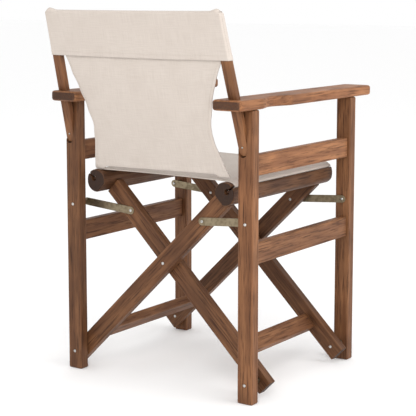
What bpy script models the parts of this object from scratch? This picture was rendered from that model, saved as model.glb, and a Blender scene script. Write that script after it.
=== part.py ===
"""Folding director's chair: two side frames joined by a pair of crossed frames that carry a canvas sling.

The sitter faces -Y. Left and right are the sitter's: left is +X. The chair stands on z = 0, open for use.
"""
from math import acos, cos, pi, radians, sin, sqrt, tan

import bmesh
import bpy
from mathutils import Vector

GAP = 0.0003  # between faces that touch

# side frames
POST_X = 0.2387  # post centre from the chair's middle
POST_W = 0.038  # post section across the chair
POST_T = 0.026  # post section along the chair
FRAME_DEPTH = 0.450  # over the outer faces of front and rear posts
ARM_BASE = 0.6365
ARM_THICK = 0.023
ARM_INNER = 0.184
ARM_OUTER = 0.260
ARM_FRONT = -0.300
ARM_REAR = 0.275
ARM_CORNER = 0.012
SCALLOP_FROM = 0.066  # decorative hollow in the armrest's outer edge
SCALLOP_TO = 0.188
SCALLOP_DEPTH = 0.016
RAIL_THICK = 0.020
RAIL_INSET = 0.0065  # side rails' outer faces inside the posts' outer faces
UPPER_RAIL = (0.4945, 0.5400)
MID_RAIL = (0.3041, 0.3509)

# crossed frames
OPEN_ANGLE = radians(44.5)  # diagonals above the horizontal
PIVOT_Z = 0.0418
BAR_W = 0.041
BAR_T = 0.022
LAYER_GAP = 0.0025  # left between neighbouring bars for a washer or a link
BAR_FOOT = 0.025  # bar length below its lower pivot
TO_CROSSING = POST_X / cos(OPEN_ANGLE)
TO_LINK = 0.1525  # crossing to the link rivet
TO_RAIL = 0.2500  # crossing to the seat rail's centre
RAIL_R = 0.026
RAIL_HALF_WIDTH = 0.024
RAIL_SEAT = 0.0205  # seat rail's centre to the facet that sits on the bars
RAIL_HALF_LENGTH = 0.2135
RAIL_CHAMFER = 0.0015
SLOT_ANGLE = radians(40)
SLOT_HALF_WIDTH = 0.0025
KEYHOLE_OUT = 0.0080
KEYHOLE_R = 0.0065
DOWEL_R = 0.0025
STRETCHER_W = 0.039
STRETCHER_T = 0.022
STRETCHER_DROP = 0.009  # stretcher's centre below the bars' centre line
STRETCHER_UP = {"a": 0.082, "b": 0.090}  # from the lower pivots

# links and rivets
LINK_POST_Z = 0.3931
LINK_W = 0.018
LINK_T = 0.0020
SHANK_R = 0.0030
BORE_R = SHANK_R + GAP
HEAD_R = 0.0036
HEAD_H = 0.0019
SPACER_R = 0.0065

# back
LEAN = radians(16.1)
STICK_W = 0.022
STICK_T = 0.015
STICK_SHIFT = 0.0075  # both sticks are lapped into their post's +x face
SPLAY = radians(3.0)  # the sticks lean in towards each other
SLOT_DEEP = 0.020  # how far past the stick its slot runs out of the post's rear face
STICK_FOOT_Z = 0.537
STICK_EXIT_Z = 0.557  # where the stick's rear face comes out of the post
STICK_TOP_Z = 0.8412
SCREW_UP = 0.020

# canvas
CLOTH = 0.0012
HEM_NECK = 0.010  # from the hem dowel's axis to where the hem's two faces meet
SEAT_FRONT = -0.211
SEAT_REAR = 0.2025
SEAT_SAG = 0.010
PANEL_BASE_Z = 0.4855
PANEL_OFFSET = 0.0018  # the panel's rear face behind the sticks'
PANEL_BULGE = 0.009
HOOD_BASE_Z = 0.742
HOOD_TOP_Z = 0.848
HOOD_ROOM = 0.0006  # hood to sticks

HALF_DEPTH = FRAME_DEPTH / 2
POST_IN = HALF_DEPTH - POST_T  # a post's face towards the middle of the chair
OUTER_BAR = (POST_IN - LAYER_GAP - BAR_T, POST_IN - LAYER_GAP)
INNER_BAR = (OUTER_BAR[0] - LAYER_GAP - BAR_T, OUTER_BAR[0] - LAYER_GAP)
HOOD_REAR = HALF_DEPTH + (HOOD_TOP_Z - STICK_EXIT_Z) * tan(LEAN) + HOOD_ROOM + CLOTH
SHIFT = Vector((0, -(ARM_FRONT + HOOD_REAR) / 2, 0))  # puts the origin under the middle of the whole chair
CROSSING_Z = PIVOT_Z + TO_CROSSING * sin(OPEN_ANGLE)

WOOD = ("wood", (0.235, 0.100, 0.045), 0.55, 0.0)
DARK_WOOD = ("dark_wood", (0.120, 0.050, 0.025), 0.60, 0.0)
STEEL = ("steel", (0.60, 0.60, 0.58), 0.35, 1.0)
ZINC = ("zinc", (0.33, 0.28, 0.18), 0.45, 1.0)
CANVAS = ("canvas", (0.66, 0.60, 0.54), 0.90, 0.0)


def clear_scene():
    for item in list(bpy.data.objects):
        bpy.data.objects.remove(item)


def material(node, finish):
    label, colour, roughness, metallic = finish
    made = bpy.data.materials.new(node + "_" + label)
    made.use_nodes = True
    shader = made.node_tree.nodes["Principled BSDF"]
    shader.inputs["Base Color"].default_value = (*colour, 1.0)
    shader.inputs["Roughness"].default_value = roughness
    shader.inputs["Metallic"].default_value = metallic
    return made


def add(name, verts, faces, finish, parent=None, at=(0, 0, 0), turn=(0, 0, 0)):
    """A named object whose mesh is centred on its own origin at the world point at."""
    mesh = bpy.data.meshes.new(name)
    mesh.from_pydata([tuple(v) for v in verts], [], faces)
    work = bmesh.new()
    work.from_mesh(mesh)
    bmesh.ops.recalc_face_normals(work, faces=work.faces)
    work.to_mesh(mesh)
    work.free()
    made = bpy.data.objects.new(name, mesh)
    bpy.context.collection.objects.link(made)
    made.location = Vector(at) + SHIFT
    made.rotation_euler = turn
    if parent:
        made.parent = parent
        made.location -= parent.location
    if finish:
        mesh.materials.append(material(name, finish))
    return made


def pivot(name, at):
    """An empty on a joint's axis, which carries the body that turns on it."""
    made = bpy.data.objects.new(name, None)
    bpy.context.collection.objects.link(made)
    made.location = Vector(at) + SHIFT
    return made


def loft(loops):
    """Faces between equal closed loops, with a cap on the first and the last."""
    verts = [point for loop in loops for point in loop]
    count = len(loops[0])
    faces = [tuple(reversed(range(count)))]
    for row in range(len(loops) - 1):
        for i in range(count):
            j = (i + 1) % count
            low, high = row * count, (row + 1) * count
            faces.append((low + i, low + j, high + j, high + i))
    faces.append(tuple((len(loops) - 1) * count + i for i in range(count)))
    return verts, faces


def plate(outline, low, high, along="z"):
    """Verts and faces of a flat outline extruded from low to high along z, or along y for an x-z outline."""
    if along == "z":
        return loft([[(x, y, level) for x, y in outline] for level in (low, high)])
    return loft([[(x, level, z) for x, z in outline] for level in (high, low)])


def arc(centre, radius, start, end, steps):
    """Points on an arc, from start to end in radians."""
    turns = [start + (end - start) * i / steps for i in range(steps + 1)]
    return [(centre[0] + radius * cos(t), centre[1] + radius * sin(t)) for t in turns]


def soften(made, width, segments=3, limit=50):
    bevel = made.modifiers.new("edges", "BEVEL")
    bevel.width = width
    bevel.segments = segments
    bevel.limit_method = "ANGLE"
    bevel.angle_limit = radians(limit)


def cut(made, cutters):
    """Takes the cutters' shapes out of a piece. Cutters never show."""
    for tool in cutters:
        tool.hide_render = True
        tool.hide_viewport = True
        tool.display_type = "WIRE"
        boolean = made.modifiers.new("cut", "BOOLEAN")
        boolean.object = tool
        boolean.operation = "DIFFERENCE"
        boolean.solver = "EXACT"


def block(name, low, high, finish, parent=None, turn=(0, 0, 0), edge=0.0025):
    """A straight board between two corners given about its own middle turn, with softened edges."""
    centre = [(a + b) / 2 for a, b in zip(low, high)]
    half = [(b - a) / 2 for a, b in zip(low, high)]
    outline = [(-half[0], -half[1]), (half[0], -half[1]), (half[0], half[1]), (-half[0], half[1])]
    verts, faces = plate(outline, -half[2], half[2])
    made = add(name, verts, faces, finish, parent, centre, turn)
    soften(made, edge)
    return made


def drill(tag, x, z, low, high, parent=None, radius=BORE_R):
    """A cutter for a bore along y."""
    verts, faces = plate(arc((0, 0), radius, 0, 2 * pi, 20)[:-1], low, high, "y")
    return add("cutter_" + tag, verts, faces, None, parent, (x, 0, z))


def turned(name, x, z, profile, finish, parent=None, steps=20):
    """A piece turned about an axis along y through (x, z). profile lists (y, radius), ends on the axis."""
    rings = profile[1:-1]
    verts = [(0, profile[0][0], 0)]
    for y, radius in rings:
        verts += [(px, y, pz) for px, pz in arc((0, 0), radius, 0, 2 * pi, steps)[:-1]]
    verts.append((0, profile[-1][0], 0))
    last = len(verts) - 1
    faces = []
    for i in range(steps):
        j = (i + 1) % steps
        faces.append((0, 1 + i, 1 + j))
        for ring in range(len(rings) - 1):
            low, high = 1 + ring * steps, 1 + (ring + 1) * steps
            faces.append((low + j, low + i, high + i, high + j))
        top = 1 + (len(rings) - 1) * steps
        faces.append((last, top + j, top + i))
    made = add(name, verts, faces, finish, parent, (x, 0, z))
    return made


def dome(face, outward):
    """Profile of a domed head that sits on a face, from its top down to its rim."""
    arcs = [(face + outward * (GAP + HEAD_H * cos(t)), HEAD_R * sin(t)) for t in (0, 0.5, 0.95, 1.3)]
    return arcs + [(face + outward * GAP, HEAD_R)]


def rivet(name, x, z, head_face, tail_face, finish=STEEL, parent=None):
    """A rivet with a dome beyond each of two faces."""
    way = 1 if head_face > tail_face else -1
    profile = dome(head_face, way)
    profile += [(head_face + way * GAP, SHANK_R), (tail_face - way * GAP, SHANK_R)]
    profile += list(reversed(dome(tail_face, -way)))
    return turned(name, x, z, profile, finish, parent)


def half_rivet(name, x, z, head_face, end, finish=STEEL, parent=None):
    """A rivet with a dome beyond one face, cut off square at the other end."""
    way = 1 if head_face > end else -1
    profile = dome(head_face, way)
    profile += [(head_face + way * GAP, SHANK_R), (end, SHANK_R), (end, 0)]
    return turned(name, x, z, profile, finish, parent)


def ring(name, x, z, inner, outer, low, high, finish, parent=None, steps=20):
    """A washer or sleeve about an axis along y."""
    def loop(radius, y):
        return [(px, y, pz) for px, pz in arc((0, 0), radius, 0, 2 * pi, steps)[:-1]]

    verts = loop(inner, low) + loop(outer, low) + loop(outer, high) + loop(inner, high)
    faces = []
    for band in range(4):
        for i in range(steps):
            j = (i + 1) % steps
            here, there = band * steps, ((band + 1) % 4) * steps
            faces.append((here + i, here + j, there + j, there + i))
    return add(name, verts, faces, finish, parent, (x, 0, z))


def stick_y(z):
    """Where a back stick's rear face is at height z."""
    return HALF_DEPTH + (z - STICK_EXIT_Z) * tan(LEAN)


def stick_x(side, z):
    """Where a back stick's centre line is at height z."""
    return side * (POST_X - (z - STICK_EXIT_Z) * tan(SPLAY)) + STICK_SHIFT


def stick_blank(name, side, grow, finish, parent=None, behind=0.0):
    """A back stick, or with grow the room it needs: a flat bar with round ends, leaning back and in."""
    half = STICK_W / 2 + grow
    length = (STICK_TOP_Z - STICK_FOOT_Z) / cos(LEAN)
    foot = arc((0, half - grow), half, pi, 2 * pi, 12)
    outline = foot + arc((0, length + grow - half), half, 0, pi, 12)
    verts, faces = loft([[(x, y, z) for x, z in outline] for y in (grow + behind, -STICK_T - grow)])
    at = (stick_x(side, STICK_FOOT_Z), stick_y(STICK_FOOT_Z), STICK_FOOT_Z)
    return add(name, verts, faces, finish, parent, at, (-LEAN, -side * SPLAY, 0))


def rear_post(label, side, parent):
    x = side * POST_X
    post = block(label + "_rear_post", (x - POST_W / 2, POST_IN, 0), (x + POST_W / 2, HALF_DEPTH, ARM_BASE - GAP),
                 WOOD, parent, edge=0.0035)
    low, high = POST_IN - 0.01, HALF_DEPTH + 0.01
    cut(post, [
        drill(label + "_rear_foot", x, PIVOT_Z, low, high, parent),
        drill(label + "_rear_link", x, LINK_POST_Z, low, high, parent),
        stick_blank("cutter_" + label + "_slot", side, GAP, None, parent, SLOT_DEEP),
    ])


def front_post(label, side, parent):
    x = side * POST_X
    post = block(label + "_front_post", (x - POST_W / 2, -HALF_DEPTH, 0), (x + POST_W / 2, -POST_IN, ARM_BASE - GAP),
                 WOOD, parent, edge=0.0035)
    low, high = -HALF_DEPTH - 0.01, -POST_IN + 0.01
    cut(post, [
        drill(label + "_front_foot", x, PIVOT_Z, low, high, parent),
        drill(label + "_front_link", x, LINK_POST_Z, low, high, parent),
    ])


def arm_outline(side):
    """Armrest from above: round corners, and a shallow hollow in the outer edge."""
    r = ARM_CORNER
    points = arc((ARM_INNER + r, ARM_FRONT + r), r, pi, 1.5 * pi, 5)
    points += arc((ARM_OUTER - r, ARM_FRONT + r), r, -0.5 * pi, 0, 5)
    steps = 14
    for i in range(steps + 1):
        along = i / steps
        dip = SCALLOP_DEPTH * sin(pi * along) ** 1.5
        points.append((ARM_OUTER - dip, SCALLOP_FROM + (SCALLOP_TO - SCALLOP_FROM) * along))
    points += arc((ARM_OUTER - r, ARM_REAR - r), r, 0, 0.5 * pi, 5)
    points += arc((ARM_INNER + r, ARM_REAR - r), r, 0.5 * pi, pi, 5)
    if side < 0:
        points = [(-x, y) for x, y in reversed(points)]
    return points


def armrest(label, side, parent):
    verts, faces = plate(arm_outline(side), 0, ARM_THICK)
    arm = add(label + "_armrest", verts, faces, WOOD, parent, (0, 0, ARM_BASE))
    soften(arm, 0.006, segments=3, limit=60)
    cut(arm, [stick_blank("cutter_" + label + "_mortise", side, 2 * GAP, None, parent)])


def side_rail(label, tag, side, span, parent):
    outer = POST_X + POST_W / 2 - RAIL_INSET
    low_x, high_x = sorted((side * outer, side * (outer - RAIL_THICK)))
    reach = POST_IN - GAP
    block(label + "_" + tag + "_rail", (low_x, -reach, span[0]), (high_x, reach, span[1]), WOOD, parent)


def back_stick(label, side, parent):
    stick = stick_blank(label + "_back_stick", side, 0, WOOD, parent)
    soften(stick, 0.0020, segments=2)
    screw_z = STICK_FOOT_Z + SCREW_UP
    x = stick_x(side, screw_z)
    y = stick_y(screw_z)
    socket = drill(label + "_screw", x, screw_z, y - 0.0095, y + 0.01, parent, 0.0022)
    cut(stick, [socket])
    head = [(y + 0.0008, 0), (y + 0.0008, 0.0017), (y - 0.0090, 0.0017), (y - 0.0090, 0)]
    turned(label + "_stick_screw", x, screw_z, head, STEEL, parent, 12)


def side_frame(label, side, parent):
    rear_post(label, side, parent)
    front_post(label, side, parent)
    armrest(label, side, parent)
    side_rail(label, "upper", side, UPPER_RAIL, parent)
    side_rail(label, "mid", side, MID_RAIL, parent)
    back_stick(label, side, parent)


def along_bar(lean, distance, offset=0.0):
    """World x and z of a point on a crossed frame's bars, measured up from the lower pivot.

    lean is +1 where the bars rise towards +x. offset is square to the bars, upwards.
    """
    c, s = cos(OPEN_ANGLE), sin(OPEN_ANGLE)
    x = -lean * POST_X + lean * (distance * c - offset * s)
    return x, PIVOT_Z + distance * s + offset * c


def bar(name, lean, span, parent):
    """One diagonal: a flat board, bored for its lower pivot, the crossing and the link."""
    top = TO_CROSSING + TO_RAIL - RAIL_SEAT - GAP
    centre = (top - BAR_FOOT) / 2
    x, z = along_bar(lean, centre)
    half = (top + BAR_FOOT) / 2
    outline = [(-half, -BAR_W / 2), (half, -BAR_W / 2), (half, BAR_W / 2), (-half, BAR_W / 2)]
    verts, faces = plate(outline, span[0], span[1], "y")
    tilt = -OPEN_ANGLE if lean > 0 else OPEN_ANGLE
    made = add(name, verts, faces, WOOD, parent, (x, 0, z), (0, tilt, 0))
    soften(made, 0.0020, segments=2)
    bores = []
    for tag, distance in (("foot", 0), ("crossing", TO_CROSSING), ("link", TO_CROSSING + TO_LINK)):
        bx, bz = along_bar(lean, distance)
        bores.append(drill(name + "_" + tag, bx, bz, span[0] - 0.01, span[1] + 0.01, parent))
    cut(made, bores)


def rail_outline(radius):
    """A seat rail's section about its centre, with x outwards: round, flat where it sits on the bars, keyhole slot."""
    sx, sz = cos(SLOT_ANGLE), sin(SLOT_ANGLE)
    lip = SLOT_HALF_WIDTH / radius
    points = []
    for x, z in arc((0, 0), radius, SLOT_ANGLE + lip, SLOT_ANGLE + 2 * pi - lip, 40):
        down = -(x * cos(OPEN_ANGLE) + z * sin(OPEN_ANGLE))
        extra = max(0.0, down - RAIL_SEAT)
        x, z = x + extra * cos(OPEN_ANGLE), z + extra * sin(OPEN_ANGLE)
        points.append((max(-RAIL_HALF_WIDTH, min(RAIL_HALF_WIDTH, x)), z))
    centre = (KEYHOLE_OUT * sx, KEYHOLE_OUT * sz)
    mouth = SLOT_HALF_WIDTH / KEYHOLE_R
    hole = arc(centre, KEYHOLE_R, SLOT_ANGLE - mouth, SLOT_ANGLE - 2 * pi + mouth, 16)
    return points + hole


def seat_rail(name, side, parent, x, z):
    stations = [(-1, RAIL_HALF_LENGTH, RAIL_CHAMFER), (-1, RAIL_HALF_LENGTH - RAIL_CHAMFER, 0),
                (1, RAIL_HALF_LENGTH - RAIL_CHAMFER, 0), (1, RAIL_HALF_LENGTH, RAIL_CHAMFER)]
    loops = []
    for way, reach, inset in stations:
        loops.append([(side * px, way * reach, pz) for px, pz in rail_outline(RAIL_R - inset)])
    if side > 0:
        loops.reverse()
    verts, faces = loft(loops)
    add(name + "_seat_rail", verts, faces, DARK_WOOD, parent, (x, 0, z))
    kx, kz = KEYHOLE_OUT * cos(SLOT_ANGLE), KEYHOLE_OUT * sin(SLOT_ANGLE)
    reach = RAIL_HALF_LENGTH - 0.004
    turned(name + "_hem_dowel", x + side * kx, z + kz,
           [(-reach, 0), (-reach, DOWEL_R), (reach, DOWEL_R), (reach, 0)], WOOD, parent, 14)


def cross_frame(letter, side, layer, parent):
    """One crossed frame: two bars, the seat rail on their tops and the stretcher between their feet.

    side is where its seat rail lies: +1 on the left.
    """
    name = "left" if side > 0 else "right"
    for end, way in (("rear", 1), ("front", -1)):
        span = tuple(sorted((way * layer[0], way * layer[1])))
        bar(end + "_bar_" + letter, side, span, parent)
    rail_x, rail_z = along_bar(side, TO_CROSSING + TO_RAIL)
    seat_rail(name, side, parent, rail_x, rail_z)
    x, z = along_bar(side, STRETCHER_UP[letter], -STRETCHER_DROP)
    reach = layer[0] - GAP
    tilt = -OPEN_ANGLE if side > 0 else OPEN_ANGLE
    block("stretcher_" + letter, (x - STRETCHER_W / 2, -reach, z - STRETCHER_T / 2),
          (x + STRETCHER_W / 2, reach, z + STRETCHER_T / 2), WOOD, parent, (0, tilt, 0), 0.002)


def pivots(bodies):
    """Rivets, washers and spacers at the feet of the bars and at their crossings."""
    for end, way in (("rear", 1), ("front", -1)):
        outside = way * HALF_DEPTH
        rivet("left_" + end + "_foot_rivet", POST_X, PIVOT_Z, outside, way * OUTER_BAR[0], parent=bodies["left"])
        rivet("right_" + end + "_foot_rivet", -POST_X, PIVOT_Z, outside, way * INNER_BAR[0], parent=bodies["right"])
        low, high = sorted((way * (OUTER_BAR[1] + GAP), way * (POST_IN - GAP)))
        ring("left_" + end + "_foot_washer", POST_X, PIVOT_Z, BORE_R, SPACER_R, low, high, ZINC, bodies["left"])
        low, high = sorted((way * (INNER_BAR[1] + GAP), way * (POST_IN - GAP)))
        ring("right_" + end + "_foot_spacer", -POST_X, PIVOT_Z, BORE_R, SPACER_R, low, high, ZINC, bodies["right"])
        rivet(end + "_crossing_rivet", 0, CROSSING_Z, way * OUTER_BAR[1], way * INNER_BAR[0], parent=bodies["b"])
        low, high = sorted((way * (INNER_BAR[1] + GAP), way * (OUTER_BAR[0] - GAP)))
        ring(end + "_crossing_washer", 0, CROSSING_Z, BORE_R, SPACER_R, low, high, ZINC, bodies["b"])


def link(label, side, end, way, layer, frame):
    """A flat metal link from a post to the crossed frame on its side, with its rivets."""
    bar_x, bar_z = along_bar(side, TO_CROSSING + TO_LINK)
    post_x = side * POST_X
    name = label + "_" + end + "_link"
    swing = pivot(name + "_pivot", (bar_x, 0, bar_z))
    near = way * (layer[1] + GAP / 2)
    far = near + way * LINK_T
    low, high = sorted((near, far))
    run = sqrt((post_x - bar_x) ** 2 + (LINK_POST_Z - bar_z) ** 2)
    dx, dz = (post_x - bar_x) / run, (LINK_POST_Z - bar_z) / run
    half = LINK_W / 2
    straight = arc((run, 0), half, -pi / 2, pi / 2, 10) + arc((0, 0), half, pi / 2, 1.5 * pi, 10)
    outline = [(x * dx - y * dz, x * dz + y * dx) for x, y in straight]
    verts, faces = plate(outline, low, high, "y")
    made = add(name, verts, faces, ZINC, swing, (bar_x, 0, bar_z))
    soften(made, 0.0004, segments=1)
    cut(made, [
        drill(name + "_bar", bar_x, bar_z, low - 0.01, high + 0.01, swing),
        drill(name + "_post", post_x, LINK_POST_Z, low - 0.01, high + 0.01, swing),
    ])
    other = way * layer[0]
    rivet(name + "_rivet", bar_x, bar_z, far, other, parent=frame)
    inner = near - way * GAP / 2
    profile = dome(inner, -way) + [(inner - way * GAP, SHANK_R), (far, SHANK_R), (far, 0)]
    turned(name + "_button", post_x, LINK_POST_Z, profile, STEEL, swing)
    return far


def links(bodies):
    for end, way in (("rear", 1), ("front", -1)):
        outside = way * HALF_DEPTH
        far = link("left", 1, end, way, INNER_BAR, bodies["a"])
        half_rivet("left_" + end + "_link_pin", POST_X, LINK_POST_Z, outside, far + way * GAP, parent=bodies["left"])
        low, high = sorted((far + way * GAP, way * (POST_IN - GAP)))
        ring("left_" + end + "_link_spacer", POST_X, LINK_POST_Z, BORE_R, SPACER_R, low, high, ZINC, bodies["left"])
        far = link("right", -1, end, way, OUTER_BAR, bodies["b"])
        half_rivet("right_" + end + "_link_pin", -POST_X, LINK_POST_Z, outside, far + way * GAP,
                   parent=bodies["right"])


def strip(path, thickness):
    """Outline of a strip that follows a path, half its thickness to either side."""
    left, right = [], []
    for i, (x, z) in enumerate(path):
        ahead, behind = path[min(i + 1, len(path) - 1)], path[max(i - 1, 0)]
        dx, dz = ahead[0] - behind[0], ahead[1] - behind[1]
        size = sqrt(dx * dx + dz * dz)
        nx, nz = -dz / size * thickness / 2, dx / size * thickness / 2
        left.append((x + nx, z + nz))
        right.append((x - nx, z - nz))
    return left + list(reversed(right))


def seat_edge(side):
    """The seat's path at one rail, from the hem dowel out of the slot and up over the rail's top."""
    rail_x, rail_z = along_bar(side, TO_CROSSING + TO_RAIL)
    key = (KEYHOLE_OUT * cos(SLOT_ANGLE), KEYHOLE_OUT * sin(SLOT_ANGLE))
    wrap = DOWEL_R + GAP + CLOTH / 2
    over = RAIL_R + GAP + CLOTH / 2
    path = arc(key, wrap, SLOT_ANGLE - 1.45 * pi, SLOT_ANGLE - acos(wrap / HEM_NECK), 10)
    neck = (key[0] + HEM_NECK * cos(SLOT_ANGLE), key[1] + HEM_NECK * sin(SLOT_ANGLE))
    mouth = ((RAIL_R + GAP) * cos(SLOT_ANGLE), (RAIL_R + GAP) * sin(SLOT_ANGLE))
    path += [neck, mouth]
    path += arc((0, 0), over, SLOT_ANGLE + 0.10, pi / 2, 8)
    return [(rail_x + side * x, rail_z + z) for x, z in path]


def seat_panel(parent):
    right = seat_edge(-1)
    left = list(reversed(seat_edge(1)))
    span = left[0][0] - right[-1][0]
    steps = 14
    middle = []
    for i in range(1, steps):
        along = i / steps
        middle.append((right[-1][0] + span * along, right[-1][1] - SEAT_SAG * 4 * along * (1 - along)))
    outline = strip(right + middle + left, CLOTH)
    verts, faces = plate(outline, SEAT_FRONT, SEAT_REAR, "y")
    add("seat_panel", verts, faces, CANVAS, parent)


def panel_half_width(z):
    """The back panel's half width: widest at the hood, waisted at armrest height, flaring to the seat rails."""
    waist_z, waist, top, base = 0.580, 0.1620, 0.2120, 0.1868
    if z > waist_z:
        share = (z - waist_z) / (HOOD_BASE_Z - waist_z)
        return waist + (top - waist) * share ** 1.5
    share = (waist_z - z) / (waist_z - PANEL_BASE_Z)
    return waist + (base - waist) * share ** 1.2


def back_panel():
    """The sling's back, from the hood down to the seat's rear edge."""
    top_z = HOOD_BASE_Z - GAP
    steps = 16
    rows = []
    for i in range(steps + 1):
        z = PANEL_BASE_Z + (top_z - PANEL_BASE_Z) * i / steps
        half = panel_half_width(z)
        rear = stick_y(z) + PANEL_OFFSET + PANEL_BULGE * sin(pi * i / steps)
        front = rear - CLOTH
        rows.append([(-half, front, z), (half, front, z), (half, rear, z), (-half, rear, z)])
    verts, faces = loft(rows)
    add("back_panel", verts, faces, CANVAS)


def hood_pocket():
    """The pocket over both back sticks: two walls joined at the top and sides, open below."""
    def loop(z, grow):
        rear, front = stick_y(z) + grow, stick_y(z) - STICK_T / cos(LEAN) - grow
        reach = STICK_W / 2 + STICK_T * sin(SPLAY) + grow
        low, high = stick_x(-1, z) - reach, stick_x(1, z) + reach
        return [(low, front, z), (high, front, z), (high, rear, z), (low, rear, z)]

    room = 2 * GAP
    ceiling = STICK_TOP_Z + STICK_T * sin(LEAN) + room
    inner = [loop(HOOD_BASE_Z, room), loop(ceiling, room)]
    outer = [loop(HOOD_BASE_Z, room + CLOTH), loop(HOOD_TOP_Z, room + CLOTH)]
    verts = inner[0] + inner[1] + outer[0] + outer[1]
    faces = [(7, 6, 5, 4), (12, 13, 14, 15)]
    for i in range(4):
        j = (i + 1) % 4
        faces.append((j, i, 4 + i, 4 + j))
        faces.append((8 + i, 8 + j, 12 + j, 12 + i))
        faces.append((i, j, 8 + j, 8 + i))
    add("hood_pocket", verts, faces, CANVAS)


def build():
    clear_scene()
    bodies = {
        "left": pivot("left_side", (0, 0, 0)),
        "b": pivot("cross_frame_b_pivot", (POST_X, 0, PIVOT_Z)),
        "a": pivot("cross_frame_a_pivot", (0, 0, CROSSING_Z)),
        "right": pivot("right_side_pivot", (-POST_X, 0, PIVOT_Z)),
    }
    side_frame("left", 1, bodies["left"])
    side_frame("right", -1, bodies["right"])
    cross_frame("b", -1, OUTER_BAR, bodies["b"])
    cross_frame("a", 1, INNER_BAR, bodies["a"])
    pivots(bodies)
    links(bodies)
    seat_panel(bodies["b"])
    back_panel()
    hood_pocket()


build()
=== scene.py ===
"""Looks of a folding director's chair: oiled hardwood frames, brass-toned links and a canvas sling."""
import math

import bpy
import numpy as np
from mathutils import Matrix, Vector


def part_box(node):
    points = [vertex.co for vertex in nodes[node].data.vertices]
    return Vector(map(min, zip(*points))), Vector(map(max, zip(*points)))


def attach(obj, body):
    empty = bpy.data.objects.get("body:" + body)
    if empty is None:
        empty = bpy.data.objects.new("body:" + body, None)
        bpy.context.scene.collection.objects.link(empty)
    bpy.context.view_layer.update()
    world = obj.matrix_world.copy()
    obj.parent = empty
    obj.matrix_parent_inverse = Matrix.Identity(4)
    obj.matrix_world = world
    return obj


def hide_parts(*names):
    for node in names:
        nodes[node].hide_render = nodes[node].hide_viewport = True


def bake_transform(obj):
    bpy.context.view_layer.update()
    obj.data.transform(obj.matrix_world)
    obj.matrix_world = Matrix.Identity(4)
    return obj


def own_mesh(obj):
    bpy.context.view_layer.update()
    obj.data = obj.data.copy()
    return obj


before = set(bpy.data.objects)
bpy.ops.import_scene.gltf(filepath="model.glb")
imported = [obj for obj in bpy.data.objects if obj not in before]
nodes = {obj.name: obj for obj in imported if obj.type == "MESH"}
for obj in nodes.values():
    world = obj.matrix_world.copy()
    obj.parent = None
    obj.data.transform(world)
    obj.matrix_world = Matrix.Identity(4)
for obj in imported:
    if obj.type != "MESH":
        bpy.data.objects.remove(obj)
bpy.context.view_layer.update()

# ---------------------------------------------------------------- oiled hardwood
# Every wooden piece is sawn from the same brown hardwood, sanded, softened along its edges and
# oiled. Grain runs along each piece; ends cut across it drink more oil and go dark.

WOOD_LIGHT = (0.345, 0.150, 0.062, 1)
WOOD_MID = (0.225, 0.090, 0.036, 1)
WOOD_DARK = (0.066, 0.023, 0.009, 1)
# The worn colour is partly real wear and partly painted highlight on the rounded edges.
WOOD_WORN_AND_HIGHLIGHT = (0.400, 0.185, 0.082, 1)
WOOD_END = (0.046, 0.022, 0.013, 1)


def wire(tree, kind, settings=None, **inputs):
    """Adds one shader node, with its settings and its inputs, each a value or another node's output."""
    made = tree.nodes.new(kind)
    for name, value in (settings or {}).items():
        setattr(made, name, value)
    for name, value in inputs.items():
        socket = made.inputs[int(name[1:])] if name[0] == "_" else made.inputs[name.replace("_", " ")]
        if isinstance(value, bpy.types.NodeSocket):
            tree.links.new(value, socket)
        else:
            socket.default_value = value
    return made


def group(name, inputs, outputs):
    """An empty node group with named sockets, and its input and output nodes."""
    made = bpy.data.node_groups.new(name, "ShaderNodeTree")
    for label, kind in inputs:
        made.interface.new_socket(label, in_out="INPUT", socket_type="NodeSocket" + kind)
    for label, kind in outputs:
        made.interface.new_socket(label, in_out="OUTPUT", socket_type="NodeSocket" + kind)
    return made, made.nodes.new("NodeGroupInput").outputs, made.nodes.new("NodeGroupOutput").inputs


def curve(tree, value, low, high, bottom=0.0, top=1.0):
    """Maps a value's stretch from low to high smoothly onto bottom to top."""
    made = wire(tree, "ShaderNodeMapRange", {"interpolation_type": "SMOOTHSTEP"}, Value=value)
    for name, number in zip(("From Min", "From Max", "To Min", "To Max"), (low, high, bottom, top)):
        made.inputs[name].default_value = number
    return made.outputs["Result"]


def blend(tree, share, first, second):
    """Mixes two colours by a share."""
    made = wire(tree, "ShaderNodeMix", {"data_type": "RGBA"}, _0=share, _6=first, _7=second)
    return made.outputs[2]


def sums(tree, operation, first, second):
    return wire(tree, "ShaderNodeMath", {"operation": operation}, _0=first, _1=second).outputs[0]


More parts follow.
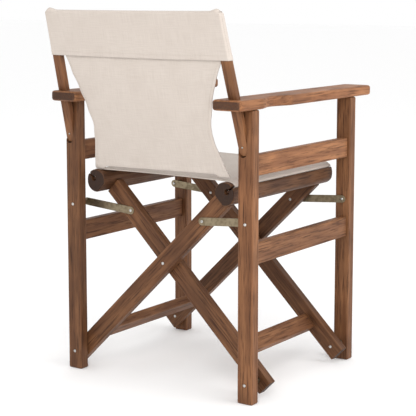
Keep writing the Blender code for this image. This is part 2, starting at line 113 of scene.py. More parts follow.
def timber():
    """Grain stretched along the board's run: growth bands, fibre streaks, pores, edges lightened partly by wear and
    partly as painted highlight, and dark end grain.
    """
    tree, given, out = group("timber", [("Run", "Vector"), ("Seed", "Vector"), ("Tone", "Float")],
                             [("Colour", "Color"), ("Roughness", "Float"), ("Height", "Float"), ("Soft", "Vector")])
    where = wire(tree, "ShaderNodeTexCoord").outputs
    run = given["Run"]
    along = wire(tree, "ShaderNodeVectorMath", {"operation": "DOT_PRODUCT"}, _0=where["Object"], _1=run)
    lift = sums(tree, "MULTIPLY", along.outputs["Value"], 0.945)
    pull = wire(tree, "ShaderNodeVectorMath", {"operation": "SCALE"}, _0=run, Scale=lift)
    flat = wire(tree, "ShaderNodeVectorMath", {"operation": "SUBTRACT"}, _0=where["Object"], _1=pull.outputs[0])
    place = wire(tree, "ShaderNodeVectorMath", {"operation": "ADD"}, _0=flat.outputs[0], _1=given["Seed"]).outputs[0]

    def noise(at, scale, detail, rough=0.55, warp=0.0):
        made = wire(tree, "ShaderNodeTexNoise", None, Vector=at, Scale=scale, Detail=detail, Roughness=rough)
        made.inputs["Distortion"].default_value = warp
        return made.outputs["Fac"]

    bands = noise(place, 75, 3, 0.5, 0.6)
    streaks = noise(place, 260, 4, 0.65)
    fibres = noise(place, 820, 3, 0.6)
    board = wire(tree, "ShaderNodeVectorMath", {"operation": "ADD"}, _0=where["Object"], _1=given["Seed"]).outputs[0]
    cloud = noise(board, 9, 2)
    colour = blend(tree, curve(tree, bands, 0.36, 0.66), WOOD_MID, WOOD_LIGHT)
    colour = blend(tree, curve(tree, streaks, 0.47, 0.69, 0.0, 0.85), colour, WOOD_DARK)
    colour = blend(tree, curve(tree, cloud, 0.35, 0.70, 0.0, 0.42), colour, WOOD_DARK)
    pores = curve(tree, fibres, 0.60, 0.72)
    colour = blend(tree, sums(tree, "MULTIPLY", pores, 0.45), colour, WOOD_DARK)
    facing = wire(tree, "ShaderNodeVectorMath", {"operation": "DOT_PRODUCT"}, _0=where["Normal"], _1=run)
    cut = curve(tree, sums(tree, "ABSOLUTE", facing.outputs["Value"], 0.0), 0.72, 0.93)
    rings = wire(tree, "ShaderNodeTexNoise", None, Vector=board, Scale=340.0, Detail=4.0).outputs["Fac"]
    ends = blend(tree, curve(tree, rings, 0.45, 0.65), WOOD_END, WOOD_DARK)
    colour = blend(tree, sums(tree, "MULTIPLY", cut, 0.90), colour, ends)
    soft = wire(tree, "ShaderNodeBevel", {"samples": 4}, Radius=0.0022).outputs[0]
    sharp = wire(tree, "ShaderNodeNewGeometry").outputs["Normal"]
    bend = wire(tree, "ShaderNodeVectorMath", {"operation": "DOT_PRODUCT"}, _0=soft, _1=sharp).outputs["Value"]
    edge = curve(tree, bend, 0.995, 0.90)
    rubbed_and_highlight = sums(tree, "MULTIPLY", edge, curve(tree, streaks, 0.36, 0.62, 0.25, 0.75))
    rubbed_and_highlight = sums(tree, "MULTIPLY", rubbed_and_highlight, sums(tree, "SUBTRACT", 1.0, cut))
    # Painted highlight: the edges are lightened partly for wear and partly to stand in for the highlights on rounded
    # edges.
    colour = blend(tree, rubbed_and_highlight, colour, WOOD_WORN_AND_HIGHLIGHT)
    # The tone scales the whole piece's colour: partly the wood's own tone, partly painted shade on shaded pieces and
    # painted light on lit ones.
    shade = wire(tree, "ShaderNodeHueSaturation", None, Value=given["Tone"], Color=colour)
    tree.links.new(shade.outputs[0], out["Colour"])
    tree.links.new(curve(tree, streaks, 0.3, 0.7, 0.46, 0.62), out["Roughness"])
    height = sums(tree, "SUBTRACT", sums(tree, "MULTIPLY", streaks, 0.5), sums(tree, "MULTIPLY", pores, 0.6))
    tree.links.new(height, out["Height"])
    tree.links.new(soft, out["Soft"])
    return tree


TIMBER = timber()


def board(name, run, seed, tone_and_shade=1.0):
    """Oils one wooden node: run is the way its grain goes, seed shifts the figure, tone lightens or darkens it,
    partly for the wood's own tone and partly as painted shade on shaded pieces and painted light on lit ones.
    """
    made = bpy.data.materials.new("timber_" + name)
    made.use_nodes = True
    tree = made.node_tree
    shader = tree.nodes["Principled BSDF"]
    shader.inputs["Specular IOR Level"].default_value = 0.24
    grain = wire(tree, "ShaderNodeGroup", {"node_tree": TIMBER}, Run=run, Tone=tone_and_shade,
                 Seed=(seed * 0.731, seed * 0.417, seed * 0.253))
    bump = wire(tree, "ShaderNodeBump", None, Strength=0.35, Distance=0.0006, Height=grain.outputs["Height"],
                Normal=grain.outputs["Soft"])
    tree.links.new(grain.outputs["Colour"], shader.inputs["Base Color"])
    tree.links.new(grain.outputs["Roughness"], shader.inputs["Roughness"])
    tree.links.new(bump.outputs[0], shader.inputs["Normal"])
    paint(name, made)


def paint(name, material):
    """Gives a node one material all over."""
    for place in nodes[name].material_slots:
        place.link = "OBJECT"
        place.material = material


# ---------------------------------------------------------------- side frames
# Each side is a pair of square posts with two rails tenoned between them and a shaped armrest
# over their tops; a flat stick leans back out of a slot in the rear post, through the armrest.

UP, FORE = (0, 0, 1), (0, 1, 0)
LEAN = math.radians(16.1)
# Tones: on the left side the rear post, armrest and upper rail are darker as painted shade, and on the right side
# they are brighter as painted light, for light falling from the right; the other tones set the wood's own colour.
for step, side in enumerate(("left", "right")):
    board(side + "_rear_post", UP, 1.3 + step, 0.52 + 0.28 * step)
    board(side + "_front_post", UP, 3.7 + step, 0.66)
    board(side + "_armrest", FORE, 5.1 + step, 0.80 + 0.26 * step)
    board(side + "_upper_rail", FORE, 7.9 + step, 0.70 + 0.25 * step)
    board(side + "_mid_rail", FORE, 9.2 + step, 0.68)
    board(side + "_back_stick", (0, math.sin(LEAN), math.cos(LEAN)), 11.6 + step, 0.72)

# ---------------------------------------------------------------- crossed frames
# Two pairs of flat bars cross in the middle. Each pair carries a slotted seat rail on its top
# ends and a board between its feet.

RISE = math.radians(44.5)
for letter, lean in (("a", 1), ("b", -1)):
    slope = (lean * math.cos(RISE), 0, math.sin(RISE))
    for step, end in enumerate(("rear", "front")):
        # The bars' low tones are partly painted shade for their shaded undersides.
        board(f"{end}_bar_{letter}", slope, 13.3 + 2 * step + lean, 0.54 - 0.05 * step)
    board("stretcher_" + letter, FORE, 19.4 + lean, 0.70)
for step, side in enumerate(("left", "right")):
    # The seat rails' low tone is partly the darker wood of their ends and partly painted shade for their shaded
    # undersides.
    board(side + "_seat_rail", FORE, 23.1 + step, 0.42)
    board(side + "_hem_dowel", FORE, 25.1 + step, 0.80)

# ---------------------------------------------------------------- links, spacers and rivets
# The links are stamped from steel strip and passivated to a dull olive brass; the rivets and
# screws are plain bright steel with fine scratches.


def patina():
    """Cloudy tarnish, small pits and fine scratches, as masks."""
    tree, given, out = group("patina", [("Clear", "Color"), ("Dull", "Color")],
                             [("Colour", "Color"), ("Roughness", "Float"), ("Height", "Float")])
    at = wire(tree, "ShaderNodeTexCoord").outputs["Object"]
    cloud = wire(tree, "ShaderNodeTexNoise", None, Vector=at, Scale=95.0, Detail=4.0, Roughness=0.6).outputs["Fac"]
    pits = wire(tree, "ShaderNodeTexNoise", None, Vector=at, Scale=900.0, Detail=2.0).outputs["Fac"]
    long = wire(tree, "ShaderNodeMapping", None, Vector=at, Scale=(60, 400, 1500)).outputs[0]
    scratch = wire(tree, "ShaderNodeTexNoise", None, Vector=long, Scale=1.0, Detail=3.0).outputs["Fac"]
    tarnish = curve(tree, cloud, 0.38, 0.66)
    colour = blend(tree, tarnish, given["Clear"], given["Dull"])
    colour = blend(tree, curve(tree, pits, 0.60, 0.70, 0.0, 0.5), colour, given["Dull"])
    tree.links.new(colour, out["Colour"])
    rough = sums(tree, "ADD", curve(tree, cloud, 0.35, 0.7, 0.30, 0.52), curve(tree, scratch, 0.4, 0.7, 0.0, 0.12))
    tree.links.new(rough, out["Roughness"])
    tree.links.new(sums(tree, "ADD", sums(tree, "MULTIPLY", scratch, 0.4), sums(tree, "MULTIPLY", pits, 0.3)),
                   out["Height"])
    return tree


PATINA = patina()


def metal(name, clear, dull, relief):
    """A bare metal with a clear and a tarnished colour, and a relief for its scratches."""
    made = bpy.data.materials.new(name)
    made.use_nodes = True
    tree = made.node_tree
    shader = tree.nodes["Principled BSDF"]
    shader.inputs["Metallic"].default_value = 1.0
    skin = wire(tree, "ShaderNodeGroup", {"node_tree": PATINA}, Clear=clear, Dull=dull)
    soft = wire(tree, "ShaderNodeBevel", {"samples": 4}, Radius=0.0006).outputs[0]
    bump = wire(tree, "ShaderNodeBump", None, Strength=relief, Distance=0.0003, Height=skin.outputs["Height"],
                Normal=soft)
    tree.links.new(skin.outputs["Colour"], shader.inputs["Base Color"])
    tree.links.new(skin.outputs["Roughness"], shader.inputs["Roughness"])
    tree.links.new(bump.outputs[0], shader.inputs["Normal"])
    return made


passivated = metal("passivated_zinc", (0.29, 0.235, 0.155, 1), (0.21, 0.165, 0.105, 1), 0.30)
bright = metal("bright_steel", (0.62, 0.61, 0.59, 1), (0.42, 0.41, 0.39, 1), 0.15)
for name in nodes:
    if name.endswith("_link") or "spacer" in name or "washer" in name:
        paint(name, passivated)
    elif any(word in name for word in ("rivet", "pin", "button", "screw")):
        paint(name, bright)

# ---------------------------------------------------------------- canvas
# One heavy undyed cotton canvas makes the whole sling: plain weave, a thread a millimetre, with
# slubs and a few soft crease lines, which are only painted in as shade with no relief. Its map is laid out in metres
# along warp and weft.

CLOTH = 0.0011
THREAD_LIE = CLOTH * 0.95
CANVAS_PALE = (0.585, 0.520, 0.466, 1)
# The darker canvas colour serves the thread slubs, which are the cloth's own, and the painted shade of crease lines
# and of the hollows between threads.
CANVAS_SLUB_AND_SHADE = (0.490, 0.425, 0.374, 1)
THREAD = 0.00105


def weave():
    """Threads over and under each other: one set's bulge is a sine along u, the other's along v, and a chequer of
    the two picks which lies on top. Slubs are noise stretched along each set."""
    tree, given, out = group("weave", [("Pitch", "Float")], [("Colour", "Color"), ("Height", "Float")])
    spot = wire(tree, "ShaderNodeUVMap", {"uv_map": "cloth"}).outputs[0]
    across = wire(tree, "ShaderNodeSeparateXYZ", None, Vector=spot).outputs
    turns = sums(tree, "DIVIDE", math.pi, given["Pitch"])
    warp = sums(tree, "SINE", sums(tree, "MULTIPLY", across["X"], turns), 0.0)
    weft = sums(tree, "SINE", sums(tree, "MULTIPLY", across["Y"], turns), 0.0)
    chequer = sums(tree, "MULTIPLY", warp, weft)
    bulge = sums(tree, "ADD", sums(tree, "ABSOLUTE", warp, 0.0), sums(tree, "ABSOLUTE", weft, 0.0))
    height = sums(tree, "ADD", sums(tree, "MULTIPLY", chequer, 0.35), sums(tree, "MULTIPLY", bulge, 0.32))

    def slub(scale, stretch):
        long = wire(tree, "ShaderNodeMapping", None, Vector=spot, Scale=stretch).outputs[0]
        return wire(tree, "ShaderNodeTexNoise", None, Vector=long, Scale=scale, Detail=2.0).outputs["Fac"]

    threads = sums(tree, "ADD", slub(620.0, (1, 0.04, 1)), slub(620.0, (0.04, 1, 1)))
    painted_crease_shade = slub(16.0, (1, 0.7, 1))
    colour = blend(tree, curve(tree, threads, 0.80, 1.25, 0.0, 0.55), CANVAS_PALE, CANVAS_SLUB_AND_SHADE)
    # Painted shade: soft crease lines are darkened into the colour, with no relief of their own.
    colour = blend(tree, curve(tree, painted_crease_shade, 0.40, 0.68, 0.0, 0.22), colour, CANVAS_SLUB_AND_SHADE)
    # Painted shade: the hollows between the threads, where the weave's height is low, are darkened.
    colour = blend(tree, curve(tree, height, 0.45, 0.02, 0.0, 0.50), colour, CANVAS_SLUB_AND_SHADE)
    tree.links.new(colour, out["Colour"])
    relief = sums(tree, "ADD", height, sums(tree, "MULTIPLY", threads, 0.5))
    tree.links.new(relief, out["Height"])
    return tree


canvas = bpy.data.materials.new("canvas")
canvas.use_nodes = True
_tree = canvas.node_tree
_shader = _tree.nodes["Principled BSDF"]
_shader.inputs["Roughness"].default_value = 0.92
_shader.inputs["Specular IOR Level"].default_value = 0.2
_shader.inputs["Sheen Weight"].default_value = 0.15
_woven = wire(_tree, "ShaderNodeGroup", {"node_tree": weave()}, Pitch=THREAD)
_relief = wire(_tree, "ShaderNodeBump", None, Strength=0.55, Distance=0.00045, Height=_woven.outputs["Height"])
_tree.links.new(_woven.outputs["Colour"], _shader.inputs["Base Color"])
_tree.links.new(_relief.outputs[0], _shader.inputs["Normal"])

sewing = bpy.data.materials.new("sewing_thread")
sewing.use_nodes = True
_tree = sewing.node_tree
_twist = wire(_tree, "ShaderNodeTexNoise", None, Scale=900.0, Detail=2.0,
              Vector=wire(_tree, "ShaderNodeTexCoord").outputs["Object"])
_pale = blend(_tree, _twist.outputs["Fac"], (0.52, 0.46, 0.40, 1), (0.38, 0.33, 0.285, 1))
_tree.links.new(_pale, _tree.nodes["Principled BSDF"].inputs["Base Color"])
_tree.nodes["Principled BSDF"].inputs["Roughness"].default_value = 0.85


def smooth(value, low, high):
    """0 below low, 1 above high, and an easy curve of 3t^2 - 2t^3 between."""
    t = np.clip((value - low) / (high - low), 0, 1)
    return t * t * (3 - 2 * t)


def mesh_piece(name, verts, quads, material, uv=None):
    """A smooth mesh piece at the origin, from arrays of points and quads and one map point for each corner."""
    mesh = bpy.data.meshes.new(name)
    mesh.vertices.add(len(verts))
    mesh.vertices.foreach_set("co", np.asarray(verts, np.float32).ravel())
    mesh.loops.add(quads.size)
    mesh.loops.foreach_set("vertex_index", quads.ravel().astype(np.int32))
    mesh.polygons.add(len(quads))
    mesh.polygons.foreach_set("loop_start", np.arange(0, quads.size, 4, dtype=np.int32))
    mesh.polygons.foreach_set("use_smooth", np.ones(len(quads), bool))
    mesh.update(calc_edges=True)
    if uv is not None:
        layer = mesh.uv_layers.new(name="cloth")
        layer.data.foreach_set("uv", np.asarray(uv[quads.ravel()], np.float32).ravel())
    mesh.materials.append(material)
    made = bpy.data.objects.new(name, mesh)
    bpy.context.collection.objects.link(made)
    return made


def cloth(name, grid, uv, thick=CLOTH, ring=False):
    """A closed cloth on a grid of points: each point goes half the thickness out along the grid's normal for the
    outer face, and half in for the inner one, and a rim joins the two. ring joins the last column to the first."""
    rows, cols = grid.shape[:2]
    down = np.gradient(grid, axis=0)
    if ring:
        over = (np.roll(grid, -1, 1) - np.roll(grid, 1, 1)) / 2
    else:
        over = np.gradient(grid, axis=1)
    normal = np.cross(over, down)
    normal /= np.maximum(np.linalg.norm(normal, axis=2, keepdims=True), 1e-12)
    half = (np.broadcast_to(thick, (rows, cols)) / 2)[..., None]
    verts = np.concatenate([(grid + normal * half).reshape(-1, 3), (grid - normal * half).reshape(-1, 3)])
    number = np.arange(rows * cols).reshape(rows, cols)
    here = number if ring else number[:, :-1]
    there = np.roll(number, -1, 1) if ring else number[:, 1:]
    outer = np.stack([here[:-1], there[:-1], there[1:], here[1:]], -1).reshape(-1, 4)
    inner = outer[:, ::-1] + rows * cols
    rims = [(here[0], there[0], False), (here[-1], there[-1], True)]
    if not ring:
        rims += [(number[:-1, 0], number[1:, 0], True), (number[:-1, -1], number[1:, -1], False)]
    strips = []
    for first, second, swap in rims:
        strip = np.stack([second, first, first + rows * cols, second + rows * cols], -1)
        strips.append(strip[:, ::-1] if swap else strip)
    quads = np.concatenate([outer, inner] + strips)
    return mesh_piece(name, verts, quads, canvas, np.concatenate([uv.reshape(-1, 2)] * 2))


def stitches(name, path, normal, length=0.0030, gap=0.0013, radius=0.00032):
    """A row of lockstitches along a path: one small round thread for each stitch, thick in the middle and sinking
    into the cloth at both ends."""
    run = np.linalg.norm(np.diff(path, axis=0), axis=1)
    far = np.concatenate([[0], np.cumsum(run)])
    count = max(2, int(far[-1] / (length + gap)))
    start = np.arange(count) * (far[-1] / count) + gap / 2
    t = np.linspace(0, 1, 5)
    at = start[:, None] + t[None, :] * length
    centre = np.stack([np.interp(at, far, path[:, k]) for k in range(3)], -1)
    out = np.stack([np.interp(at, far, normal[:, k]) for k in range(3)], -1)
    out /= np.linalg.norm(out, axis=2, keepdims=True)
    ahead = centre[:, -1:] - centre[:, :1]
    ahead = ahead / np.linalg.norm(ahead, axis=2, keepdims=True)
    side = np.cross(out, ahead)
    bow = np.sin(math.pi * t)[None, :, None]
    centre = centre + out * (bow * 0.8 - 0.3) * radius
    turn = np.linspace(0, 2 * math.pi, 6, endpoint=False)
    width = (0.35 + 0.65 * bow) * radius
    rings = centre[:, :, None] + width[:, :, None] * (
        side[:, :, None] * np.cos(turn)[None, None, :, None] + out[:, :, None] * np.sin(turn)[None, None, :, None])
    tips = np.stack([centre[:, 0] - ahead[:, 0] * radius * 0.2, centre[:, -1] + ahead[:, 0] * radius * 0.2], 1)
    each = 5 * 6 + 2
    verts = np.concatenate([rings.reshape(count, 30, 3), tips], 1).reshape(-1, 3)
    i, j = np.meshgrid(np.arange(4), np.arange(6), indexing="ij")
    k = (j + 1) % 6
    wall = np.stack([i * 6 + j, i * 6 + k, (i + 1) * 6 + k, (i + 1) * 6 + j], -1).reshape(-1, 4)
    ring = np.arange(6)
    after = (ring + 1) % 6
    first = np.stack([after[::2], ring[::2], np.full(3, 30), np.roll(after, -1)[::2]], -1)
    last = np.stack([24 + ring[::2], 24 + after[::2], 24 + np.roll(after, -1)[::2], np.full(3, 31)], -1)
    one = np.concatenate([wall, first, last])
    quads = (one[None] + (np.arange(count) * each)[:, None, None]).reshape(-1, 4)
    return mesh_piece(name, verts, quads, sewing)


# ---------------------------------------------------------------- hood pocket
# The top of the sling is a deep pocket slipped over both back sticks. It is pulled tight round
# them, sags a little between, has a turned-up hem below and a seam down each end.

hood_low, hood_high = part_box("hood_pocket")
left_stick, right_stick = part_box("left_back_stick"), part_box("right_back_stick")
HOOD_HEM = hood_low[2] - 0.0008
HOOD_PEAK = hood_high[2] - 0.0004
HOOD_SAG = 0.0052
STICK_DEPTH = 0.0156
SPLAY = math.tan(math.radians(3.0))
HEM_BAND = 0.0115
SLEEVE_GAP = 0.0011
CORNER = 0.0032
CAP_R, CAP_REACH = 0.0130, 0.0120


def stick_rear(z):
    """How far back the sticks' rear faces are at a height: a straight lean up to the hood's rear edge."""
    return hood_high[1] - 0.0018 - (hood_high[2] - z) * math.tan(LEAN)


def stick_outer(side, z):
    """The outer edge of a stick at a height: it starts at the foot and leans in."""
    in_by = (z - left_stick[0][2]) * SPLAY
    return left_stick[1][0] - in_by if side == "left" else right_stick[0][0] + in_by


def pocket_loop(wall=170, end=7, bend=7):
    """A rounded rectangle walked once round, seen from above. Each point is a place along and across the straight
    parts, from -1 to 1, and a direction on the corner's quarter circle."""
    there, short = np.linspace(1, -1, wall), np.linspace(1, -1, end)[1:-1]
    parts = [np.stack([there, there * 0 + 1, there * 0, there * 0 + 1])]
    for k, (sx, sy) in enumerate([(-1, 1), (-1, -1), (1, -1), (1, 1)]):
        a = np.linspace(0, math.pi / 2, bend)[1:-1] + math.pi / 2 * (k + 1)
        parts.append(np.stack([a * 0 + sx, a * 0 + sy, np.cos(a), np.sin(a)]))
        if k == 0:
            parts.append(np.stack([short * 0 - 1, short, short * 0 - 1, short * 0]))
        elif k == 1:
            parts.append(np.stack([-there, there * 0 - 1, there * 0, there * 0 - 1]))
        elif k == 2:
            parts.append(np.stack([short * 0 + 1, -short, short * 0 + 1, short * 0]))
    return np.concatenate(parts, 1)


# Up the pocket, every height's loop runs round both sticks; near the top the loop closes from front to rear over a
# ridge that sags between the sticks and turns down over each one's rounded end.
along, across, round_x, round_y = [row[None, :] for row in pocket_loop()]
HOOD_ROWS = 60
v = np.linspace(0, 1, HOOD_ROWS)[:, None]
middle = 1 - along ** 2
peak = HOOD_PEAK - HOOD_SAG * smooth(1 - np.abs(along), 0.02, 0.13) - 0.0008 * middle
turned = np.clip((np.abs(along) - 0.951) / 0.049, 0, 1) * CAP_REACH
drop = CAP_R - np.sqrt(CAP_R ** 2 - turned ** 2)
climb = 1 - (1 - v) ** 1.15
z = HOOD_HEM + (peak - drop * v ** 5 - HOOD_HEM) * climb - 0.0014 * middle * (1 - v) ** 3
closing = np.sqrt(np.clip(1 - smooth(v, 0.90, 1.0) ** 2, 0.0016, 1))
radius = CORNER * closing
tuck = 0.0010 * smooth(v, 0.88, 1.0) ** 2
left_edge = stick_outer("left", z) + SLEEVE_GAP - tuck - radius
right_edge = stick_outer("right", z) - SLEEVE_GAP + tuck + radius
x = (left_edge + right_edge) / 2 + along * (left_edge - right_edge) / 2 + round_x * radius
hollow = 0.0030 * middle ** 2 * smooth(v, 0.10, 0.5)
half_depth = (STICK_DEPTH / 2 + 0.0010) * closing - radius
y = stick_rear(z) - STICK_DEPTH / 2 + across * (half_depth - hollow * closing) + round_y * radius
y = y + 0.0008 * np.sin(along * 9.0 + 1.0) * np.sin(v * 5.0 + along * 2.0) * middle * np.sign(across)
grid = np.stack([x, y, z], -1)
around = np.concatenate([[0], np.cumsum(np.linalg.norm(np.diff(grid[0], axis=0), axis=1))])
uv = np.stack(np.broadcast_arrays(around[None, :], z), -1)
hem = 1 + 0.9 * (1 - smooth(z - HOOD_HEM, HEM_BAND - 0.0012, HEM_BAND + 0.0004))
hood = cloth("hood_canvas", grid, uv, CLOTH * hem, ring=True)
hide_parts("hood_pocket")


def hood_line(column_from, column_to, height):
    """A line across the hood at a height above its hem, through a run of its columns."""
    columns = np.arange(column_from, column_to)
    level = z[0, columns] + height
    x_line = np.array([np.interp(h, z[:, c], x[:, c]) for h, c in zip(level, columns)])
    y_line = np.array([np.interp(h, z[:, c], y[:, c]) for h, c in zip(level, columns)])
    return np.stack([x_line, y_line, level], 1)


hem_line = hood_line(2, 168, HEM_BAND - 0.0020) + [0, THREAD_LIE, 0]
hood_stitches = stitches("hood_hem_stitches", hem_line, np.tile([0, 1.0, math.tan(LEAN)], (len(hem_line), 1)))
seams = []
for side, out in (("left", 1.0), ("right", -1.0)):
    column = int(np.argmax(out * x[HOOD_ROWS // 2]))
    tall = slice(2, int(HOOD_ROWS * 0.86))
    seam = np.stack([x[tall, column] + out * CLOTH * 0.7, y[tall, column], z[tall, column]], 1)
    seams.append(stitches("hood_seam_" + side, seam, np.tile([out, 0, 0], (len(seam), 1))))
hood_sewing = [hood_stitches] + seams

# ---------------------------------------------------------------- back of the sling
# The back is cut like an hourglass: full width where it is sewn inside the hood, narrow at the
# sitter's waist, and wide again over the seat rails, where two short tails are tucked down. Both
# sides and the lower edge are turned in and stitched.

WAIST_Z, WAIST, SHOULDER, TAIL = 0.580, 0.1620, 0.2120, 0.1868
PANEL_TOP = HOOD_HEM + 0.012
PANEL_FOOT = 0.4900
TAIL_FOOT = 0.4835
SIDE_HEM = 0.0085
FOOT_STITCH = 0.0090
# Its half width grows from the waist upwards and downwards, and it bulges backwards between its ends.
rows, cols = 150, 240
v = np.linspace(0, 1, rows)[:, None]
u = np.linspace(-1, 1, cols)[None, :]
u = np.sign(u) * np.abs(u) ** 0.9
foot = PANEL_FOOT - 0.0035 * u - (PANEL_FOOT - TAIL_FOOT) * smooth(np.abs(u), 0.80, 0.88)
z = foot + (PANEL_TOP - foot) * v
above = np.clip((z - WAIST_Z) / (0.7417 - WAIST_Z), 0, 1.1)
below = np.clip((WAIST_Z - z) / (WAIST_Z - 0.4855), 0, 1)
half = WAIST + (SHOULDER - WAIST) * above ** 1.5 + (TAIL - WAIST) * below ** 1.2
half = np.minimum(half, 0.2110)
x = half * u
t = (z - TAIL_FOOT) / (PANEL_TOP - TAIL_FOOT)
bulge = 0.0085 * np.sin(math.pi * np.clip(t, 0, 1)) * (1 - 0.25 * u ** 2)
pulls = 0.0011 * np.sin(9 * (x * 8 + z * 14)) * smooth(np.abs(u), 0.2, 0.9) * (1 - t) * t * 4
roll = 0.0016 * smooth(np.abs(u), 0.94, 1.0)
under = 0.0042 * smooth(z, HOOD_HEM - 0.045, HOOD_HEM + 0.002)
y = stick_rear(z) + 0.0004 + bulge + pulls - roll - under
grid = np.stack([x, y, z], -1)
uv = np.stack(np.broadcast_arrays(x, z), -1)
inset = (1 - np.abs(u)) * half
side_hem = 1 + 0.9 * (1 - smooth(inset, SIDE_HEM - 0.0012, SIDE_HEM + 0.0004))
foot_hem = 1 + 0.9 * (1 - smooth(z - foot, 0.0100, 0.0116))
back = cloth("back_canvas", grid[:, ::-1], uv[:, ::-1], (CLOTH * np.maximum(side_hem, foot_hem))[:, ::-1])
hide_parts("back_panel")


def back_line(share_u, row_from=0.045, row_to=0.93):
    """A line up the back at a share of its half width, just proud of its rear face."""
    span = slice(int(rows * row_from), int(rows * row_to))
    xs = np.sign(share_u) * (half[span].mean(1) - SIDE_HEM + 0.0018)
    column = int(np.argmin(np.abs(u[0] - share_u)))
    return np.stack([xs, y[span, column] + THREAD_LIE, z[span, column]], 1)


back_sewing = []
for label, share_u in (("left", 0.955), ("right", -0.955)):
    path = back_line(share_u)
    back_sewing.append(stitches("back_stitches_" + label, path, np.tile([0, 1.0, math.tan(LEAN)], (len(path), 1))))
keep = np.abs(u[0]) < 0.78
path = np.stack([x[0, keep], y[0, keep] + THREAD_LIE, z[0, keep] + FOOT_STITCH], 1)
path[:, 1] += FOOT_STITCH * math.tan(LEAN)
back_sewing.append(stitches("back_stitches_foot", path, np.tile([0, 1.0, math.tan(LEAN)], (len(path), 1))))

# ---------------------------------------------------------------- seat of the sling
# The seat is a rectangle whose two side hems hold a dowel each. The dowels sit in the rails'
# keyhole slots, so the cloth comes out of the slot, goes up over the rail and hangs between.

seat_low, seat_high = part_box("seat_panel")
rail_low, rail_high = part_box("left_seat_rail")
RAIL_R, SLOT = 0.026, math.radians(40)
KEY, KEY_WRAP, NECK = 0.0080, 0.0034, 0.0100
rail_x = (rail_low[0] + rail_high[0]) / 2
rail_z = rail_high[2] - RAIL_R
OVER = RAIL_R + 0.0003 + CLOTH / 2


def seat_profile():
    """The seat from one hem to the other: three quarters round the dowel, straight out of the slot, an arc over
    the rail's top, and a shallow parabola across to the other rail, mirrored."""
    a = np.linspace(SLOT - 1.45 * math.pi, SLOT - math.acos(KEY_WRAP / NECK), 14)
    key = np.array([KEY * math.cos(SLOT), KEY * math.sin(SLOT)])
    hem = key + KEY_WRAP * np.stack([np.cos(a), np.sin(a)], 1)
    out = np.array([[math.cos(SLOT), math.sin(SLOT)]])
    slot = out * np.array([[KEY + NECK], [0.5 * (KEY + NECK + RAIL_R)], [RAIL_R + 0.0003]])
    b = np.linspace(SLOT + 0.11, math.pi / 2, 12)
    top = OVER * np.stack([np.cos(b), np.sin(b)], 1)
    side = np.concatenate([hem, slot, top])
    right = np.stack([-rail_x - side[:, 0], rail_z + side[:, 1]], 1)
    across = np.linspace(0, 1, 122)[1:-1]
    flat = np.stack([right[-1, 0] * (1 - 2 * across), np.full(across.shape, right[-1, 1])], 1)
    left = np.stack([-right[::-1, 0], right[::-1, 1]], 1)
    return np.concatenate([right, flat, left])


profile = seat_profile()
deep = np.linspace(0, 1, 150)[:, None]
front, rear = seat_low[1] - 0.0005, seat_high[1]
x = np.broadcast_to(profile[None, :, 0], (150, len(profile)))
inside = np.clip(1 - (x / rail_x) ** 2, 0, 1) * (np.abs(x) < rail_x)
y = front + (rear - front) * deep + inside * (0.0050 * (1 - deep) ** 3 - 0.0160 * deep ** 3)
sag = 0.0010 + 0.0030 * np.sin(math.pi * deep)
z = profile[None, :, 1] - sag * inside ** 1.2 * (np.abs(x) < rail_x)
z = z + 0.0006 * np.sin(x * 60 + deep * 5) * np.sin(deep * 22) * inside
grid = np.stack([x, y, z], -1)
run = np.concatenate([[0], np.cumsum(np.linalg.norm(np.diff(profile, axis=0), axis=1))])
uv = np.stack(np.broadcast_arrays(run[None, :], y), -1)
from_edge = np.minimum(y - y[:1], y[-1:] - y)
hem = 1 + 0.9 * (1 - smooth(from_edge, 0.0108, 0.0122)) * (np.abs(x) < rail_x + 0.004)
seat = cloth("seat_canvas", grid, uv, CLOTH * hem)
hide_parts("seat_panel")
seat_sewing = []
wide = np.abs(x[0]) < rail_x
for label, row, way in (("front", 0.0100, 1), ("rear", 0.0100, -1)):
    k = int(np.argmin(np.abs((y[:, 0] - front if way > 0 else rear - y[:, 0]) - row)))
    path = np.stack([x[k, wide], y[k, wide], z[k, wide] + THREAD_LIE], 1)
    seat_sewing.append(stitches("seat_stitches_" + label, path, np.tile([0, 0, 1.0], (len(path), 1))))

# ---------------------------------------------------------------- how the sling is carried
# The seat is baked into place. The back and hood, with their stitches, ride on the left side's
# body, each on a mesh of its own.

for piece in [seat] + seat_sewing:
    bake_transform(piece)

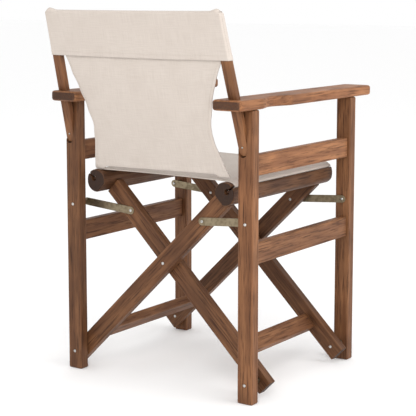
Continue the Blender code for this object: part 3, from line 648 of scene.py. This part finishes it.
for piece in [hood] + hood_sewing:
    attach(piece, "side_left")
    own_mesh(piece)
for piece in [back] + back_sewing:
    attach(piece, "side_left")
    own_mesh(piece)

# ---------------------------------------------------------------- floor, light and camera
# A plain white sweep, a broad soft key from behind the sitter's right, a large fill from the
# right and an even white sky.

plane = bpy.data.meshes.new("sweep")
plane.from_pydata([(-30, -30, 0), (30, -30, 0), (30, 30, 0), (-30, 30, 0)], [], [(0, 1, 2, 3)])
floor = bpy.data.objects.new("sweep", plane)
bpy.context.collection.objects.link(floor)
paper = bpy.data.materials.new("paper")
paper.use_nodes = True
paper.node_tree.nodes["Principled BSDF"].inputs["Base Color"].default_value = (0.98, 0.98, 0.98, 1)
paper.node_tree.nodes["Principled BSDF"].inputs["Roughness"].default_value = 0.9
plane.materials.append(paper)

world = bpy.data.worlds.new("studio")
world.use_nodes = True
world.node_tree.nodes["Background"].inputs["Color"].default_value = (1, 1, 1, 1)
world.node_tree.nodes["Background"].inputs["Strength"].default_value = 1.0
bpy.context.scene.world = world


def softbox(name, at, towards, size, watts):
    """A square soft light at one point, facing another."""
    light = bpy.data.lights.new(name, "AREA")
    light.shape, light.size, light.energy = "SQUARE", size, watts
    made = bpy.data.objects.new(name, light)
    bpy.context.collection.objects.link(made)
    made.location = at
    aim = [b - a for a, b in zip(at, towards)]
    made.rotation_euler = Vector(aim).to_track_quat("-Z", "Y").to_euler()
    return made


softbox("key", (-1.7, 3.0, 2.5), (0, 0, 0.5), 1.8, 56)
softbox("fill", (-3.4, -0.4, 1.7), (0, 0, 0.5), 2.0, 45)

eye = bpy.data.cameras.new("camera")
eye.sensor_width = 36.0
eye.lens = 36.0 * 1276.6 / 416
eye.shift_y = -(208.0 - 165.0) / 416
camera = bpy.data.objects.new("camera", eye)
bpy.context.collection.objects.link(camera)
camera.location = (-1.6900, 2.4468, 0.8763)
camera.rotation_euler = (math.radians(90 - 7.618), 0, math.radians(214.775))
eye.clip_start, eye.clip_end = 0.05, 200
bpy.context.scene.camera = camera
bpy.context.scene.view_settings.view_transform = "Standard"
